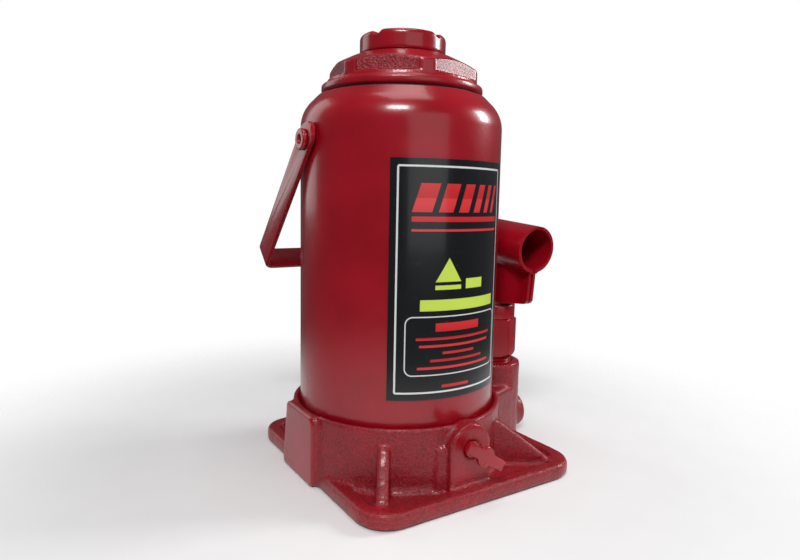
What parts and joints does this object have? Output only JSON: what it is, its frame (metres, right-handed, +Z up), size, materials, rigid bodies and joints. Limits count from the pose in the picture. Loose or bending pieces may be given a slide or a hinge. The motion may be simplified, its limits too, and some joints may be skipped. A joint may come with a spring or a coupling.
{
  "type": "hydraulic bottle jack",
  "caption": "Hydraulic bottle jack: round red reservoir on a cast base, screw-extended ram, hand pump with tubular handle socket, release valve and strap carrying handle.",
  "frame": {"origin": "on the ram's axis, at the underside of the base", "axes": "+Z up along the ram; +X from the ram to the pump; -Y towards the release valve and the mouth of the handle socket"},
  "size_m": [0.1856, 0.1778, 0.285],
  "materials": {
    "cast_paint": "gloss paint over rough casting",
    "smooth_paint": "gloss",
    "ram_chrome": "ground and plated",
    "machined_steel": "turned",
    "spring_steel": "oiled",
    "copper": "soft copper",
    "brass_mesh": "fine mesh",
    "rubber": "matte",
    "label_film": "printed film"
  },
  "bodies": {
    "base": {"base_casting": "cast_paint", "reservoir_tube": "smooth_paint", "reservoir_foot_seal": "rubber", "reservoir_neck_seal": "rubber", "pressure_cylinder": "machined_steel", "cylinder_washer": "copper", "cylinder_top_seal": "rubber", "ram_wiper": "rubber", "top_nut": "cast_paint", "label": "label_film", "pump_cylinder": "smooth_paint", "pump_washer": "copper", "pump_seal": "rubber", "gland_nut": "smooth_paint", "link_foot_pin": "machined_steel", "link_foot_pin_ring": "spring_steel", "gallery_plug": "machined_steel", "outlet_ball": "machined_steel", "outlet_spring": "spring_steel", "inlet_ball": "machined_steel", "oil_strainer": "brass_mesh", "safety_ball": "machined_steel", "safety_spring": "spring_steel", "safety_screw": "machined_steel", "handle_pivot_left": "smooth_paint", "handle_pivot_right": "smooth_paint"},
    "filler_plug": {"filler_plug": "rubber"},
    "ram": {"ram": "ram_chrome", "piston": "machined_steel", "piston_seal": "rubber", "ram_end_nut": "machined_steel"},
    "screw_travel": {"screw_stop_ring": "spring_steel"},
    "extension_screw": {"extension_screw": "smooth_paint"},
    "fulcrum_link": {"fulcrum_link": "smooth_paint"},
    "socket": {"handle_socket": "smooth_paint", "socket_stop": "machined_steel", "link_top_pin": "machined_steel", "link_top_pin_ring": "spring_steel", "plunger_pin": "machined_steel", "plunger_pin_ring": "spring_steel"},
    "plunger": {"pump_plunger": "machined_steel"},
    "valve_travel": {"release_valve_ring": "rubber", "release_ball": "machined_steel"},
    "release_valve": {"release_valve_stem": "smooth_paint", "release_valve_key": "smooth_paint"},
    "carrying_handle": {"carrying_handle": "smooth_paint"}
  },
  "joints": [
    {"name": "ram_lift", "type": "slide", "parent": "base", "child": "ram", "axis": [0, 0, 1], "range_m": [0, 0.18]},
    {"name": "screw_lift", "type": "slide", "parent": "ram", "child": "screw_travel", "axis": [0, 0, 1], "range_m": [0, 0.08]},
    {"name": "screw_turn", "type": "hinge", "parent": "screw_travel", "child": "extension_screw", "pos_m": [0, 0, 0.272], "axis": [0, 0, 1], "range_deg": [0, 4800]},
    {"name": "link_swing", "type": "hinge", "parent": "base", "child": "fulcrum_link", "pos_m": [0.088, 0.028, 0.044], "axis": [-1, 0, 0], "range_deg": [0, 0.6]},
    {"name": "pump_stroke", "type": "hinge", "parent": "fulcrum_link", "child": "socket", "pos_m": [0.088, 0.027, 0.126], "axis": [-1, 0, 0], "range_deg": [0, 40]},
    {"name": "plunger_slide", "type": "slide", "parent": "base", "child": "plunger", "axis": [0, 0, 1], "range_m": [0, 0.0198]},
    {"name": "valve_travel", "type": "slide", "parent": "base", "child": "valve_travel", "axis": [0, -1, 0], "range_m": [0, 0.0015]},
    {"name": "valve_turn", "type": "hinge", "parent": "valve_travel", "child": "release_valve", "pos_m": [0.0055, -0.088, 0.032], "axis": [0, -1, 0], "range_deg": [0, 360]},
    {"name": "handle_swing", "type": "hinge", "parent": "base", "child": "carrying_handle", "pos_m": [0, 0, 0.2155], "axis": [1, 0, 0], "range_deg": [0, 272]},
    {"name": "filler_pull", "type": "slide", "parent": "base", "child": "filler_plug", "axis": [-0.4226, 0.9063, 0], "range_m": [0, 0.012]}
  ],
  "couplings": [
    {"joint": "screw_lift", "follows": "screw_turn", "m_per_rad": 0.00095493},
    {"joint": "link_swing", "follows": "pump_stroke", "ratio": 0.015},
    {"joint": "plunger_slide", "follows": "pump_stroke", "m_per_rad": 0.0283},
    {"joint": "valve_travel", "follows": "valve_turn", "m_per_rad": 0.00023873}
  ]
}
